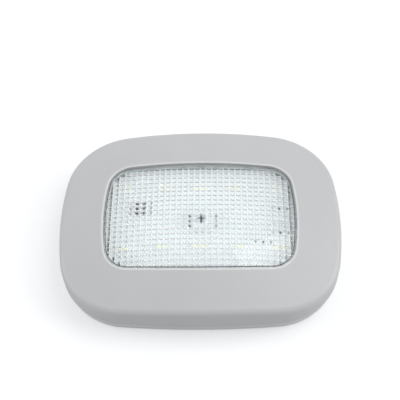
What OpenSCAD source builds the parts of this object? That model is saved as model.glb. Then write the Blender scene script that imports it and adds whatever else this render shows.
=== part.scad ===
// Press-on interior light with a prismatic lens that is its own button.
// The origin is the middle of the back face. +Z points out through the lens, +X along the long side.
// All sizes are in millimetres.

/* [Casing] */
// Length of the casing along X
case_l = 105; // [98:0.5:118]
// Width of the casing along Y
case_w = 79.4; // [75:0.1:90]
// Radius of the two bowed long sides
long_side_r = 365; // [250:5:900]
// Radius of the two bowed short sides
short_side_r = 121; // [95:1:300]
// Radius of the four corners seen from above
corner_r = 24.8; // [20:0.1:28]
// Height of the crowned top over the middle of the back
crown_z = 19.5; // [18.5:0.1:23]
// Radius of the crown along X
crown_rx = 249; // [200:1:600]
// Radius of the crown along Y
crown_ry = 192; // [160:1:600]
// Wall of the bezel
wall_t = 1.6; // [1.4:0.1:2]
// Radius where the crowned top meets the side wall
edge_r = 2.5; // [1.5:0.1:4]
// Height of the back cover, where the parting line runs
parting_z = 5.2; // [4.8:0.1:5.3]
// Step at the parting line, by which the cover is smaller
parting_step = 0.3; // [0.1:0.05:0.6]
// How much further in the cover's foot is than its rim
cover_draft = 0.6; // [0.2:0.1:1.2]
// Radius round the foot of the back cover
foot_r = 0.9; // [0.4:0.1:1.4]

/* [Window] */
// Length of the window along X
window_l = 71.7; // [66:0.1:74]
// Width of the window along Y
window_w = 45.6; // [40:0.1:48]
// Radius of the window's bowed long sides
window_long_r = 396; // [250:1:900]
// Radius of the window's bowed short sides
window_short_r = 91; // [70:1:300]
// Radius of the window's corners
window_corner_r = 9.2; // [6:0.1:12]
// Radius of the window's edge
window_edge_r = 0.4; // [0.3:0.1:1]
// Wall of the rim that hangs down round the window
rim_t = 1.2; // [1:0.1:1.6]
// Height of the rim's lower face over the board
rim_over_board = 3.2; // [2.8:0.1:3.4]

/* [Lens] */
// Gap between the lens and the window
lens_gap = 0.45; // [0.3:0.05:0.7]
// How far the lens lies below the crown of the bezel
lens_recess = 0.5; // [0.2:0.1:0.8]
// Thickness of the lens without its prisms
lens_t = 2; // [1.6:0.1:2.2]
// Radius of the edge of the lens
lens_edge_r = 0.6; // [0.3:0.1:0.8]
// Wall of the skirt round the lens
skirt_t = 1; // [0.8:0.1:1.2]
// Side of one square prism
prism_pitch = 2.2; // [2:0.1:3]
// Height of one prism
prism_h = 0.8; // [0.3:0.1:1]
// Width of a catch
catch_w = 3.6; // [2.5:0.1:5]
// How far a catch reaches past the window's edge, under the rim
catch_reach = 0.75; // [0.4:0.05:0.9]
// Height of a catch at its root
catch_h = 1.2; // [0.8:0.1:1.4]
// Height of a catch at its tip
catch_tip_h = 0.6; // [0.4:0.1:0.8]
// Distance between the two catches on a short side
catch_spacing = 11; // [8:0.5:16]
// How far a rib of the post over the switch reaches from the post's middle, at its foot
post_r = 1.2; // [1:0.1:1.5]
// How much further a rib reaches where it meets the lens
post_spread = 2.2; // [1:0.1:3]
// Travel of the lens
press_travel = 0.5; // [0.3:0.05:0.6]

/* [Board] */
// Height of the board's underside over the back
board_z = 8.6; // [8.5:0.1:9]
// Thickness of the board
board_t = 1.6; // [1.4:0.1:1.7]
// How far the board reaches past the window on each side
board_overlap = 5.2; // [5:0.1:5.5]
// Gap between the board and a cover screw's boss
board_boss_gap = 0.4; // [0.2:0.1:0.6]
// Radius of the board's corners
board_corner_r = 3; // [1:0.1:3.2]
// Distance of a board screw from the board's two edges
board_screw_inset = 2.6; // [2.5:0.1:3]
// Width of the tongue that carries the charging socket
socket_tongue_w = 16; // [12:0.5:20]
// Gap between the tongue and the wall
tongue_gap = 0.8; // [0.4:0.1:1.2]

/* [Lamps and parts on the board] */
// Distance between lamps in a row
led_pitch = 14.2; // [12:0.1:15]
// Distance between the two rows
led_row_gap = 25.8; // [22:0.1:28]
// How far both rows are shifted along Y
led_row_shift = 0.5; // [-1:0.1:1]
// Length of a lamp along X
led_l = 3.5; // [3:0.1:4]
// Width of a lamp along Y
led_w = 2.8; // [2.4:0.1:3.2]
// Height of a lamp
led_h = 0.8; // [0.6:0.1:1]
// Radius of the round well in a lamp
led_well_r = 1.15; // [0.9:0.05:1.2]
// Depth of the well in a lamp
led_well_d = 0.15; // [0.1:0.05:0.3]
// Chip body length along Y
chip_l = 4.9; // [4:0.1:6]
// Chip body width along X
chip_w = 3.9; // [3:0.1:5]
// Height of the chip body
chip_h = 1.5; // [1:0.1:1.8]
// Distance between the chip's legs
chip_leg_pitch = 1.27; // [1:0.01:1.3]
// Place of the chip along X
chip_x = -22.4; // [-24:0.1:-19]
// Place of the chip along Y
chip_y = 4.2; // [0:0.1:6]
// Length of a resistor along X
resistor_l = 2; // [1.6:0.1:2.4]
// Width of a resistor along Y
resistor_w = 1.25; // [0.8:0.05:1.6]
// Height of a resistor
resistor_h = 0.55; // [0.35:0.05:0.7]

/* [Push switch] */
// Side of the square switch
switch_side = 6; // [5.6:0.1:6.4]
// Height of the switch's plastic body
switch_body_h = 3.2; // [3:0.1:3.3]
// Thickness of the steel plate on the switch
switch_plate_t = 0.3; // [0.2:0.05:0.4]
// Height of the plunger's top over the board
plunger_top_h = 4.3; // [4.2:0.1:4.5]
// Radius of the plunger
plunger_r = 1.7; // [1.5:0.05:1.8]
// Clearance round the plunger
plunger_gap = 0.15; // [0.1:0.05:0.2]
// How far the plunger's collar stands out
plunger_collar = 0.4; // [0.3:0.05:0.5]
// Height of the plunger's collar
plunger_collar_h = 0.8; // [0.6:0.1:1]
// Height of the snap disc that is left when the lens is pressed in
dome_spare = 0.4; // [0.3:0.1:0.5]
// Thickness of the snap disc
dome_t = 0.12; // [0.1:0.02:0.2]
// Place of the switch along X
switch_x = 0.5; // [-1:0.1:1]
// Place of the switch along Y
switch_y = -1.5; // [-3:0.1:1]

/* [Battery and magnets] */
// Length of the battery along X
battery_l = 45; // [40:0.5:46]
// Width of the battery along Y
battery_w = 30; // [24:0.5:34]
// Thickness of the battery
battery_t = 5; // [4:0.1:5.2]
// Radius of the battery's long edges
battery_edge_r = 1.8; // [1:0.1:1.9]
// Length of the pad that holds the battery
pad_l = 27; // [15:0.5:38]
// Width of the pad
pad_w = 18; // [10:0.5:22]
// Thickness of the pad
pad_t = 0.5; // [0.3:0.1:0.8]
// Radius of a battery lead
lead_r = 0.6; // [0.5:0.05:0.7]
// Radius of the bend in a battery lead
lead_bend_r = 1.5; // [1.2:0.1:1.8]
// Distance between the two battery leads
lead_spacing = 8; // [5:0.5:12]
// Radius of a magnet
magnet_r = 7; // [5.5:0.1:7.2]
// Thickness of a magnet
magnet_t = 3; // [2:0.1:3.5]
// Gap between the battery and the ring round a magnet
magnet_battery_gap = 1.2; // [0.8:0.1:2]

/* [Back cover] */
// Thickness of the cover's floor
floor_t = 1.6; // [1.4:0.1:2]
// Skin left under a magnet
magnet_skin = 0.8; // [0.6:0.1:1]
// Wall of the ring round a magnet
magnet_ring_t = 1; // [0.8:0.1:1.2]
// Thickness of the lip inside the bezel's wall
lip_t = 1; // [0.8:0.1:1.2]
// Height of the lip above the parting line
lip_h = 1.5; // [1:0.1:2]
// Gap between the lip and the bezel's wall
lip_gap = 0.15; // [0.1:0.05:0.25]

/* [Screws and charging socket] */
// Radius of a screw's shank
screw_r = 1; // [0.9:0.05:1.1]
// Radius of a screw's head
screw_head_r = 1.9; // [1.7:0.05:2]
// Height of a screw's head
screw_head_h = 1.3; // [1.1:0.1:1.4]
// Radius of the cross recess in a screw's head
screw_recess_r = 1; // [0.8:0.05:1.1]
// Length of a cover screw under its head
cover_screw_l = 8; // [6.5:0.5:8.5]
// Length of a board screw under its head
board_screw_l = 4.5; // [4:0.1:4.6]
// Distance of the cover screws from the ends of the casing
cover_screw_inset = 7.5; // [7.2:0.1:7.8]
// Distance of the cover screws from the middle line
cover_screw_y = 12; // [8:0.5:13]
// Radius of a cover screw's boss
cover_boss_r = 2.8; // [2.5:0.1:3]
// Radius of a board screw's boss
board_boss_r = 2.4; // [2.2:0.1:2.6]
// Clearance of a screw's shank in a through hole
screw_hole_gap = 0.15; // [0.1:0.05:0.25]
// Free depth past a screw's tip in its boss
screw_tip_gap = 0.3; // [0.2:0.1:0.4]
// Clearance of a screw's shank in its threaded boss
thread_gap = 0.03; // [0.02:0.01:0.05]
// Clearance round a screw's head in the cover
head_gap = 0.3; // [0.2:0.05:0.4]
// Depth of the cover's screw wells
screw_well_d = 2.6; // [2.2:0.1:3.4]
// Width of the socket's mouth
socket_w = 8.34; // [8:0.01:9]
// Height of the socket's mouth
socket_h = 2.56; // [2.4:0.01:2.6]
// Wall of the socket's shell
socket_wall = 0.3; // [0.2:0.05:0.3]
// Length of the socket
socket_l = 7.3; // [6.5:0.1:8]
// How far the socket's mouth lies inside the wall's outer face
socket_recess = 0.4; // [0.2:0.1:0.8]
// Gap round the socket in the wall
socket_gap = 0.3; // [0.2:0.05:0.4]

/* [Hidden] */
$fn = 48;
grey = [0.78, 0.78, 0.79];
// How far one shape reaches into the next where they are joined
eps = 0.01;
// How far a cutting shape reaches past the solid that it cuts
cut = 1;

// Steps of each outline arc in one quarter: short side, corner, long side
SHORT_STEPS = 4;
CORNER_STEPS = 12;
LONG_STEPS = 6;
QUARTER = SHORT_STEPS + CORNER_STEPS + LONG_STEPS;
RING = 4 * QUARTER;
// Steps of the bezel's outer edge, its top and the window's edge
EDGE_STEPS = 4;
TOP_STEPS = 4;
WINDOW_EDGE_STEPS = 3;
// Rings of the lens's top and steps of its edge
LENS_RINGS = 5;
LENS_EDGE_STEPS = 3;
// Steps round the foot of the back cover
FOOT_STEPS = 3;

// How deep a boss is rooted in the bezel's wall
boss_root = 0.55 * wall_t;
// How much of the lens's thickness is the plain skin over the prism sheet
skin_t = 0.7 * lens_t;
// How far the prism sheet's upper face lies inside the skin
sheet_overlap = 0.2 * lens_t;
// Thickness of a rib of the lens's post, and height of its straight foot
rib_t = 0.7;
rib_foot_h = 0.4;
// Lamps in one row, and the bevel at the ends of a lamp
LED_PER_ROW = 5;
led_bevel = 0.25;
// Width, thickness and reach of a chip's leg
chip_leg_w = 0.4;
chip_leg_t = 0.2;
chip_leg_reach = 1;
// Gap under the chip's body, and the notch at its end
chip_lift = 0.15;
chip_notch_r = 0.5;
chip_notch_d = 0.2;
// Places of the four resistors on the board
RESISTOR_PLACES = [[30.4, 4], [28.2, -1], [30.4, -6], [23.5, -10]];
// Length and extra thickness of a resistor's metal ends
resistor_end_l = 0.4;
resistor_end_t = 0.05;
// Width, length and thickness of a switch's leg
switch_leg_w = 0.7;
switch_leg_l = 1.2;
switch_leg_t = 0.25;
// Radius of a rivet on the switch, its distance from the two edges, and how far its head stands out
rivet_r = 0.45;
rivet_inset = 1;
rivet_head_h = 0.15;
// Bevel round the plunger's top
plunger_bevel = 0.2;
// Length of the socket's insulator behind its mouth
insulator_l = 2.8;
// Thickness of the tongue in the socket, its gap to each side and how far it lies inside the mouth
tongue_t = 0.7;
tongue_side_gap = 0.82;
tongue_inset = 0.5;
// Straight run of a battery lead before its bend
lead_run = 0.6;
// Clearance round a magnet in its pocket, and the bevel round both its faces
magnet_gap = 0.1;
magnet_bevel = 0.3;
// Width and depth of the cross recess in a screw's head, and the head's bevel
recess_w = 0.45;
recess_d = 0.7;
head_bevel = 0.35;
// Height and end radius of a screw's tip
tip_h = 0.7;
tip_r = 0.35;

board_top = board_z + board_t;
rim_z = board_top + rim_over_board;
board_l = window_l + 2 * board_overlap;
board_w = window_w + 2 * board_overlap;
skirt_bottom = rim_z - catch_h;
half_cells_x = ceil(window_l / 2 / prism_pitch);
half_cells_y = ceil(window_w / 2 / prism_pitch);
switch_top = board_top + switch_body_h;
plunger_top = board_top + plunger_top_h;
rivet_place = switch_side / 2 - rivet_inset;
collar_r = plunger_r + plunger_collar;
dome_h = press_travel + dome_spare;
well_floor = switch_top - plunger_collar_h - dome_h;
lip_inset = wall_t + lip_gap;
cavity_inset = lip_inset + lip_t;
mouth_y = case_w / 2 - socket_recess;
socket_outer_w = socket_w + 2 * socket_wall;
socket_outer_h = socket_h + 2 * socket_wall;
socket_z = board_z - socket_outer_h / 2;
tongue_w = socket_w - 2 * tongue_side_gap;
notch_w = socket_outer_w + 2 * socket_gap;
notch_top = board_z + socket_gap;
cover_screw_x = case_l / 2 - cover_screw_inset;
board_screw_x = board_l / 2 - board_screw_inset;
board_screw_y = board_w / 2 - board_screw_inset;
battery_z = floor_t + pad_t;
magnet_ring_r = magnet_r + magnet_gap + magnet_ring_t;
magnet_x = battery_l / 2 + magnet_battery_gap + magnet_ring_r;

// Outlines
// The outline is four bowed sides with tangent corner arcs. A station is [point, outward normal].

// Centre of the corner arc that touches both bowed sides
function corner_centre(l, w, long_r, short_r, r) =
    let (
        from_long = [0, w / 2 - long_r],
        from_short = [l / 2 - short_r, 0],
        reach_long = long_r - r,
        reach_short = short_r - r,
        apart = norm(from_short - from_long),
        along = (reach_long ^ 2 - reach_short ^ 2 + apart ^ 2) / (2 * apart),
        across = sqrt(reach_long ^ 2 - along ^ 2),
        u = (from_short - from_long) / apart
    )
    from_long + along * u + across * [u[1], -u[0]];

function station(centre, r, angle) = [centre + r * [cos(angle), sin(angle)], [cos(angle), sin(angle)]];

function quarter(l, w, long_r, short_r, r) =
    let (
        long_centre = [0, w / 2 - long_r],
        short_centre = [l / 2 - short_r, 0],
        centre = corner_centre(l, w, long_r, short_r, r),
        to_long = centre - long_centre,
        to_short = centre - short_centre,
        long_angle = atan2(to_long[1], to_long[0]),
        short_angle = atan2(to_short[1], to_short[0])
    )
    concat(
        [for (i = [0 : SHORT_STEPS - 1]) station(short_centre, short_r, short_angle * i / SHORT_STEPS)],
        [for (i = [0 : CORNER_STEPS - 1])
            station(centre, r, short_angle + (long_angle - short_angle) * i / CORNER_STEPS)],
        [for (i = [0 : LONG_STEPS])
            station(long_centre, long_r, long_angle + (90 - long_angle) * i / LONG_STEPS)]
    );

function turned(s, sx, sy) = [[s[0][0] * sx, s[0][1] * sy], [s[1][0] * sx, s[1][1] * sy]];

// The whole outline, anticlockwise from +X
function outline(l, w, long_r, short_r, r) =
    let (q = quarter(l, w, long_r, short_r, r))
    concat(
        [for (i = [0 : QUARTER - 1]) q[i]],
        [for (i = [QUARTER : -1 : 1]) turned(q[i], -1, 1)],
        [for (i = [0 : QUARTER - 1]) turned(q[i], -1, -1)],
        [for (i = [QUARTER : -1 : 1]) turned(q[i], 1, -1)]
    );

case_outline = outline(case_l, case_w, long_side_r, short_side_r, corner_r);
window_outline = outline(window_l, window_w, window_long_r, window_short_r, window_corner_r);

// The outline's points moved inwards by d, or outwards where d is negative
function inset(stations, d) = [for (s = stations) s[0] - d * s[1]];

// Height of the crowned top
function crown(p) = crown_z - p[0] ^ 2 / (2 * crown_rx) - p[1] ^ 2 / (2 * crown_ry);

// Rings
// A ring is one closed loop of 3-D points. Rings are joined into a surface in their order.
function level(points, z) = [for (p = points) [p[0], p[1], z]];
function under_crown(points, drop) = [for (p = points) [p[0], p[1], crown(p) - drop]];
function between(a, b, t) = [for (i = [0 : len(a) - 1]) a[i] * (1 - t) + b[i] * t];

// Faces between ring j and ring k
function band(j, k) = [for (i = [0 : RING - 1])
    let (a = j * RING + i, b = j * RING + (i + 1) % RING, c = k * RING + i, d = k * RING + (i + 1) % RING)
    each [[a, c, b], [b, c, d]]];

// A tube of rings whose section closes on itself
module ring_loop(rings) {
    count = len(rings);
    polyhedron(
        points = [for (r = rings) each r],
        faces = [for (j = [0 : count - 1]) each band(j, (j + 1) % count)]
    );
}

// A solid of rings with a flat first and last face
module ring_stack(rings) {
    count = len(rings);
    polyhedron(
        points = [for (r = rings) each r],
        faces = concat(
            [[for (i = [0 : RING - 1]) i]],
            [for (j = [0 : count - 2]) each band(j, j + 1)],
            [[for (i = [RING - 1 : -1 : 0]) (count - 1) * RING + i]]
        )
    );
}

module slab(points, z0, z1) {
    translate([0, 0, z0]) linear_extrude(z1 - z0) polygon(points);
}

module at_cover_screws() {
    for (sx = [-1, 1], sy = [-1, 1]) translate([sx * cover_screw_x, sy * cover_screw_y, 0]) children();
}

module at_board_screws() {
    for (sx = [-1, 1], sy = [-1, 1]) translate([sx * board_screw_x, sy * board_screw_y, 0]) children();
}

// Bezel
function edge_ring(angle) =
    let (
        spread = edge_r * (1 - cos(angle)),
        p = inset(case_outline, spread),
        q = inset(case_outline, edge_r)
    )
    [for (i = [0 : RING - 1]) [p[i][0], p[i][1], crown(q[i]) - edge_r + edge_r * sin(angle)]];

function window_edge_ring(angle) =
    let (
        spread = window_edge_r * (1 - sin(angle)),
        p = inset(window_outline, -spread),
        q = inset(window_outline, -window_edge_r)
    )
    [for (i = [0 : RING - 1]) [p[i][0], p[i][1], crown(q[i]) - window_edge_r * (1 - cos(angle))]];

module bezel_shell() {
    top_outer = inset(case_outline, edge_r);
    top_inner = inset(window_outline, -window_edge_r);
    roof_outer = inset(case_outline, wall_t + edge_r / 2);
    roof_inner = inset(window_outline, -rim_t);
    ring_loop(concat(
        [level(inset(case_outline, 0), parting_z)],
        [for (i = [0 : EDGE_STEPS]) edge_ring(90 * i / EDGE_STEPS)],
        [for (i = [1 : TOP_STEPS - 1]) under_crown(between(top_outer, top_inner, i / TOP_STEPS), 0)],
        [for (i = [0 : WINDOW_EDGE_STEPS]) window_edge_ring(90 * i / WINDOW_EDGE_STEPS)],
        [level(inset(window_outline, 0), rim_z)],
        [level(roof_inner, rim_z)],
        [under_crown(roof_inner, wall_t)],
        [for (i = [1 : TOP_STEPS - 1]) under_crown(between(roof_inner, roof_outer, i / TOP_STEPS), wall_t)],
        [under_crown(roof_outer, wall_t)],
        [under_crown(inset(case_outline, wall_t), wall_t + edge_r / 2)],
        [level(inset(case_outline, wall_t), parting_z)]
    ));
}

module boss(x, y, r, bottom) {
    top = crown([x, y]) - boss_root;
    translate([x, y, bottom]) cylinder(r = r, h = top - bottom);
}

// The blind hole in a boss, from its lower face to a little past the screw's tip
module screw_bore(bottom, tip) {
    depth = tip + screw_tip_gap - bottom;
    translate([0, 0, bottom - cut]) cylinder(r = screw_r + thread_gap, h = depth + cut);
}

module bezel() {
    color(grey)
    difference() {
        union() {
            bezel_shell();
            for (sx = [-1, 1], sy = [-1, 1]) {
                boss(sx * cover_screw_x, sy * cover_screw_y, cover_boss_r, parting_z);
                boss(sx * board_screw_x, sy * board_screw_y, board_boss_r, board_top);
            }
        }
        at_cover_screws() screw_bore(parting_z, screw_well_d + cover_screw_l);
        at_board_screws() screw_bore(board_top, board_z + board_screw_l);
        translate([-notch_w / 2, case_w / 2 - wall_t - edge_r, parting_z - cut])
            cube([notch_w, wall_t + edge_r + cut, notch_top - parting_z + cut]);
    }
}

// Lens
// Where the window's short side lies at the given y
function side_x(y) = window_l / 2 - window_short_r + sqrt(window_short_r ^ 2 - y ^ 2);

function lens_ring(angle) =
    let (
        spread = lens_gap + lens_edge_r * (1 - sin(angle)),
        p = inset(window_outline, spread),
        q = inset(window_outline, lens_gap + lens_edge_r)
    )
    [for (i = [0 : RING - 1])
        [p[i][0], p[i][1], crown(q[i]) - lens_recess - lens_edge_r * (1 - cos(angle))]];

// The clear skin of the lens with its skirt, from the middle of its underside outwards and round to its top
module lens_skin() {
    middle = [for (i = [1 : RING]) [0, 0]];
    top = inset(window_outline, lens_gap + lens_edge_r);
    inner = inset(window_outline, lens_gap + skirt_t);
    ring_stack(concat(
        [for (i = [1 : LENS_RINGS])
            under_crown(between(middle, inner, i / LENS_RINGS), lens_recess + skin_t)],
        [level(inner, skirt_bottom)],
        [level(inset(window_outline, lens_gap), skirt_bottom)],
        [for (i = [LENS_EDGE_STEPS : -1 : 1]) lens_ring(90 * i / LENS_EDGE_STEPS)],
        [for (i = [LENS_RINGS : -1 : 1]) under_crown(between(middle, top, i / LENS_RINGS), lens_recess)]
    ));
}

function sheet_node(i, j, drop) =
    let (p = [i, j] * prism_pitch)
    [p[0], p[1], crown(p) - lens_recess - drop];

// A sheet that follows the crown, plain above and with one prism in each square below
module prism_sheet() {
    nx = 2 * half_cells_x;
    ny = 2 * half_cells_y;
    row = nx + 1;
    nodes = row * (ny + 1);
    grid = [for (j = [0 : ny], i = [0 : nx]) [i - half_cells_x, j - half_cells_y]];
    upper = [for (g = grid) sheet_node(g[0], g[1], skin_t - sheet_overlap)];
    lower = [for (g = grid) sheet_node(g[0], g[1], lens_t)];
    tips = [for (j = [0 : ny - 1], i = [0 : nx - 1])
        sheet_node(i - half_cells_x + 0.5, j - half_cells_y + 0.5, lens_t + prism_h)];
    top_faces = [for (j = [0 : ny - 1], i = [0 : nx - 1])
        let (a = j * row + i)
        each [[a, a + row, a + 1], [a + 1, a + row, a + row + 1]]];
    prism_faces = [for (j = [0 : ny - 1], i = [0 : nx - 1])
        let (a = nodes + j * row + i, tip = 2 * nodes + j * nx + i)
        each [[a, a + 1, tip], [a + 1, a + row + 1, tip], [a + row + 1, a + row, tip], [a + row, a, tip]]];
    near_far = [for (i = [0 : nx - 1])
        let (a = i, b = ny * row + i)
        each [[a, a + 1, a + nodes], [a + 1, a + 1 + nodes, a + nodes],
            [b, b + nodes, b + 1], [b + 1, b + nodes, b + 1 + nodes]]];
    left_right = [for (j = [0 : ny - 1])
        let (a = j * row, b = j * row + nx)
        each [[a, a + nodes, a + row], [a + row, a + nodes, a + row + nodes],
            [b, b + row, b + nodes], [b + row, b + row + nodes, b + nodes]]];
    polyhedron(
        points = concat(upper, lower, tips),
        faces = concat(top_faces, prism_faces, near_far, left_right)
    );
}

// One catch, rooted in the skirt and pointing along +X from the window's edge at x = 0
module catch() {
    root = lens_gap + skirt_t / 2;
    hull() {
        translate([-root, -catch_w / 2, skirt_bottom]) cube([skirt_t / 2, catch_w, catch_h]);
        translate([0, -catch_w / 2, rim_z - catch_tip_h]) cube([catch_reach, catch_w, catch_tip_h]);
    }
}

// Four crossed ribs that stand on the plunger and widen towards the skin
module lens_post() {
    top = crown([switch_x, switch_y]) - lens_recess - skin_t;
    for (a = [0 : 90 : 270]) translate([switch_x, switch_y, 0]) rotate(a) hull() {
        translate([0, -rib_t / 2, top - eps]) cube([post_r + post_spread, rib_t, eps]);
        translate([0, -rib_t / 2, plunger_top]) cube([post_r, rib_t, rib_foot_h]);
    }
}

module lens() {
    color([0.86, 0.92, 0.92, 0.45])
    union() {
        lens_skin();
        intersection() {
            prism_sheet();
            slab(inset(window_outline, lens_gap + skirt_t / 2), skirt_bottom, crown_z);
        }
        for (y = [-1, 1] * catch_spacing / 2) {
            translate([side_x(y), y, 0]) catch();
            translate([-side_x(y), y, 0]) rotate(180) catch();
        }
        translate([0, window_w / 2, 0]) rotate(90) catch();
        translate([0, -window_w / 2, 0]) rotate(-90) catch();
        lens_post();
    }
}

// Back cover
function foot_ring(angle) =
    let (spread = parting_step + cover_draft + foot_r * (1 - sin(angle)))
    level(inset(case_outline, spread), foot_r * (1 - cos(angle)));

module cover_block() {
    ring_stack(concat(
        [for (i = [0 : FOOT_STEPS]) foot_ring(90 * i / FOOT_STEPS)],
        [level(inset(case_outline, parting_step), parting_z)]
    ));
}

module back_cover() {
    color(grey)
    difference() {
        union() {
            difference() {
                cover_block();
                slab(inset(case_outline, cavity_inset), floor_t, parting_z + eps);
            }
            difference() {
                slab(inset(case_outline, lip_inset), parting_z - eps, parting_z + lip_h);
                slab(inset(case_outline, cavity_inset), parting_z - cut, parting_z + lip_h + cut);
                translate([-socket_tongue_w / 2, 0, parting_z]) cube([socket_tongue_w, case_w, lip_h + cut]);
            }
            at_cover_screws() translate([0, 0, floor_t - eps])
                cylinder(r = cover_boss_r, h = parting_z - floor_t + eps);
            for (x = [-magnet_x, magnet_x]) translate([x, 0, floor_t - eps])
                cylinder(r = magnet_ring_r, h = magnet_skin + magnet_t - floor_t);
        }
        at_cover_screws() {
            translate([0, 0, -cut]) cylinder(r = screw_head_r + head_gap, h = screw_well_d + cut);
            translate([0, 0, -cut]) cylinder(r = screw_r + screw_hole_gap, h = parting_z + 2 * cut);
        }
        for (x = [-magnet_x, magnet_x]) translate([x, 0, magnet_skin])
            cylinder(r = magnet_r + magnet_gap, h = magnet_t + cut);
    }
}

// Board
// A sheet with round corners and a tongue for the socket, cut for its screws and clear of the cover's bosses
module board_plan() {
    r = board_corner_r;
    difference() {
        union() {
            square([board_l - 2 * r, board_w], center = true);
            square([board_l, board_w - 2 * r], center = true);
            for (sx = [-1, 1], sy = [-1, 1])
                translate([sx * (board_l / 2 - r), sy * (board_w / 2 - r)]) circle(r);
            translate([-socket_tongue_w / 2, 0]) square([socket_tongue_w, case_w / 2 - wall_t - tongue_gap]);
        }
        at_board_screws() circle(screw_r + screw_hole_gap);
        at_cover_screws() circle(cover_boss_r + board_boss_gap);
    }
}

module circuit_board() {
    color([0.93, 0.95, 0.94])
    translate([0, 0, board_z]) linear_extrude(board_t) board_plan();
}

// Lamps
// A flat white body with bevelled ends and a round well in its top
module lamp(number) {
    place = (number - 1) % LED_PER_ROW;
    row = number <= LED_PER_ROW ? 1 : -1;
    x = (place - (LED_PER_ROW - 1) / 2) * led_pitch;
    y = row * led_row_gap / 2 + led_row_shift;
    color([0.96, 0.95, 0.86])
    translate([x, y, board_top])
    difference() {
        translate([0, led_w / 2, 0]) rotate([90, 0, 0]) linear_extrude(led_w) polygon([
            [-led_l / 2, 0], [led_l / 2, 0], [led_l / 2, led_h / 2], [led_l / 2 - led_bevel, led_h],
            [led_bevel - led_l / 2, led_h], [-led_l / 2, led_h / 2]
        ]);
        translate([0, 0, led_h - led_well_d]) cylinder(r = led_well_r, h = led_h);
    }
}

// Chip
// A bent leg seen from the side, in X and Z from the chip's side
module chip_leg() {
    middle = chip_h / 2;
    bend = chip_leg_reach / 2;
    translate([0, chip_leg_w / 2, 0]) rotate([90, 0, 0]) linear_extrude(chip_leg_w) polygon([
        [0, middle], [bend, middle], [bend, chip_leg_t], [chip_leg_reach, chip_leg_t],
        [chip_leg_reach, 0], [bend - chip_leg_t, 0], [bend - chip_leg_t, middle - chip_leg_t],
        [0, middle - chip_leg_t]
    ]);
}

module charge_chip() {
    color([0.1, 0.1, 0.11])
    translate([chip_x, chip_y, board_top])
    union() {
        difference() {
            translate([-chip_w / 2, -chip_l / 2, chip_lift]) cube([chip_w, chip_l, chip_h - chip_lift]);
            translate([0, chip_l / 2, chip_h - chip_notch_d]) cylinder(r = chip_notch_r, h = chip_h);
        }
        for (k = [-1.5 : 1 : 1.5]) translate([0, k * chip_leg_pitch, 0]) {
            translate([chip_w / 2, 0, 0]) chip_leg();
            translate([-chip_w / 2, 0, 0]) rotate(180) chip_leg();
        }
    }
}

// Resistors
module resistor(number) {
    color([0.13, 0.13, 0.14])
    translate(concat(RESISTOR_PLACES[number - 1], board_top))
    union() {
        translate([0, 0, resistor_h / 2])
            cube([resistor_l, resistor_w, resistor_h - 2 * resistor_end_t], center = true);
        for (s = [-1, 1]) translate([s * (resistor_l - resistor_end_l) / 2, 0, resistor_h / 2])
            cube([resistor_end_l, resistor_w, resistor_h], center = true);
    }
}

// Push switch
module at_switch(z) {
    translate([switch_x, switch_y, z]) children();
}

// At the four corners of the switch, where its rivets are
module at_rivets(z) {
    for (sx = [-1, 1], sy = [-1, 1])
        at_switch(z) translate([sx * rivet_place, sy * rivet_place, 0]) children();
}

module switch_body() {
    color([0.12, 0.12, 0.13])
    difference() {
        union() {
            at_switch(board_top + switch_body_h / 2)
                cube([switch_side, switch_side, switch_body_h], center = true);
            for (sx = [-1, 1], sy = [-1, 1]) at_switch(board_top)
                translate([sx * (switch_side + switch_leg_l) / 2, sy * rivet_place, switch_leg_t / 2])
                cube([switch_leg_l, switch_leg_w, switch_leg_t], center = true);
            at_rivets(switch_top - eps) cylinder(r = rivet_r, h = switch_plate_t + rivet_head_h);
        }
        at_switch(well_floor) cylinder(r = collar_r + plunger_gap, h = switch_body_h);
    }
}

module switch_plate() {
    color([0.78, 0.79, 0.8])
    difference() {
        at_switch(switch_top + switch_plate_t / 2)
            cube([switch_side, switch_side, switch_plate_t], center = true);
        at_switch(switch_top - cut) cylinder(r = plunger_r + plunger_gap, h = switch_plate_t + 2 * cut);
        at_rivets(switch_top - cut) cylinder(r = rivet_r, h = switch_plate_t + 2 * cut);
    }
}

module switch_plunger() {
    h = plunger_top - switch_top + plunger_collar_h;
    color([0.08, 0.08, 0.08])
    at_switch(switch_top - plunger_collar_h)
    rotate_extrude() polygon([
        [0, 0], [collar_r, 0], [collar_r, plunger_collar_h], [plunger_r, plunger_collar_h],
        [plunger_r, h - plunger_bevel], [plunger_r - plunger_bevel, h], [0, h]
    ]);
}

// The snap disc rests on its rim and its crown touches the plunger
module switch_dome() {
    r = collar_r - plunger_gap;
    outer_r = (r ^ 2 + dome_h ^ 2) / (2 * dome_h);
    color([0.8, 0.8, 0.8])
    at_switch(well_floor)
    intersection() {
        difference() {
            translate([0, 0, dome_h - outer_r]) sphere(outer_r);
            translate([0, 0, dome_h - outer_r]) sphere(outer_r - dome_t);
        }
        cylinder(r = r + cut, h = dome_h + cut);
    }
}

// Charging socket
module stadium(w, h) {
    square([w - h, h], center = true);
    for (s = [-1, 1]) translate([s * (w - h) / 2, 0]) circle(h / 2);
}

// A shape drawn in X and Z, reaching from y0 to y1
module along_y(y0, y1) {
    translate([0, y1, 0]) rotate([90, 0, 0]) linear_extrude(y1 - y0) children();
}

module charge_socket_shell() {
    color([0.8, 0.8, 0.81])
    translate([0, 0, socket_z])
    difference() {
        along_y(mouth_y - socket_l, mouth_y) stadium(socket_outer_w, socket_outer_h);
        along_y(mouth_y - socket_l - cut, mouth_y + cut) stadium(socket_w, socket_h);
    }
}

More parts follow.
